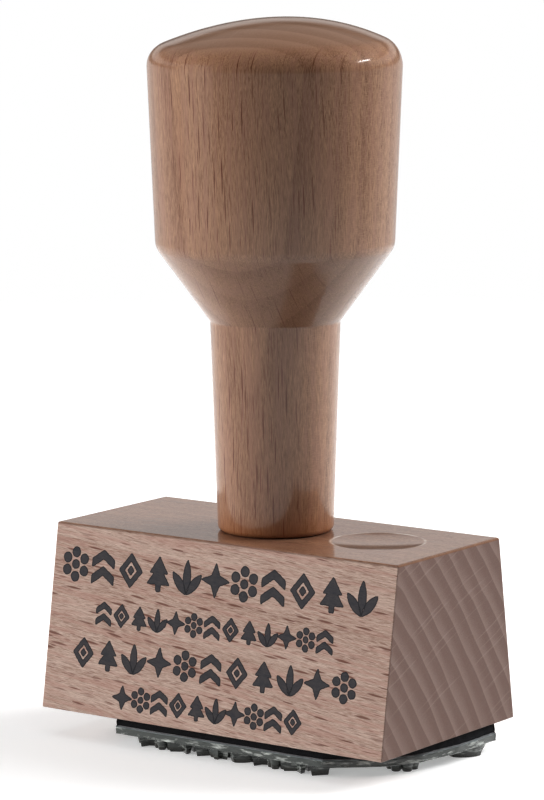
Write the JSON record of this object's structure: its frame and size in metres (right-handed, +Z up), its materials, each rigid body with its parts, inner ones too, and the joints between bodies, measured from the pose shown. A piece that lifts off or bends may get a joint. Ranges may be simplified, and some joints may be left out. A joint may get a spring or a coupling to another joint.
{
  "type": "hand stamp",
  "caption": "Wooden-handled relief stamp: turned grip screwed to a tapered block with a finger rest, over a foam cushion and a trimmed printing plate.",
  "frame": {"origin": "in the printing plane, under the centre of the block", "axes": "+Z up the handle, +X along the block towards the end with the finger rest, -Y the side that carries the printed impression"},
  "size_m": [0.06, 0.0364, 0.105],
  "materials": {
    "lacquered_beech_handle": "turned beech under clear gloss lacquer",
    "beech_block": "sanded bare beech sides, clear gloss lacquer on top",
    "zinc_plated_steel": "bright zinc plate",
    "adhesive_tape": "double-sided adhesive film",
    "black_foam": "closed-cell foam, cut edges",
    "polyester_film": "clear film over adhesive",
    "photopolymer": "translucent grey, glossy, ink-stained relief"
  },
  "bodies": {
    "stamp_body": {"handle": "lacquered_beech_handle", "handle_screw": "zinc_plated_steel", "mount_block": "beech_block", "cushion_tape_upper": "adhesive_tape", "cushion_foam": "black_foam"},
    "printing_die": {"cushion_tape_lower": "adhesive_tape", "plate_backing_film": "polyester_film", "relief_plate": "photopolymer"}
  },
  "joints": [
    {"name": "cushion_press", "type": "slide", "parent": "stamp_body", "child": "printing_die", "axis": [0, 0, 1], "range_m": [0, 0.0004], "stiffness_N_per_m": 300, "springref_m": -0.004, "deforming": ["cushion_foam"]}
  ]
}
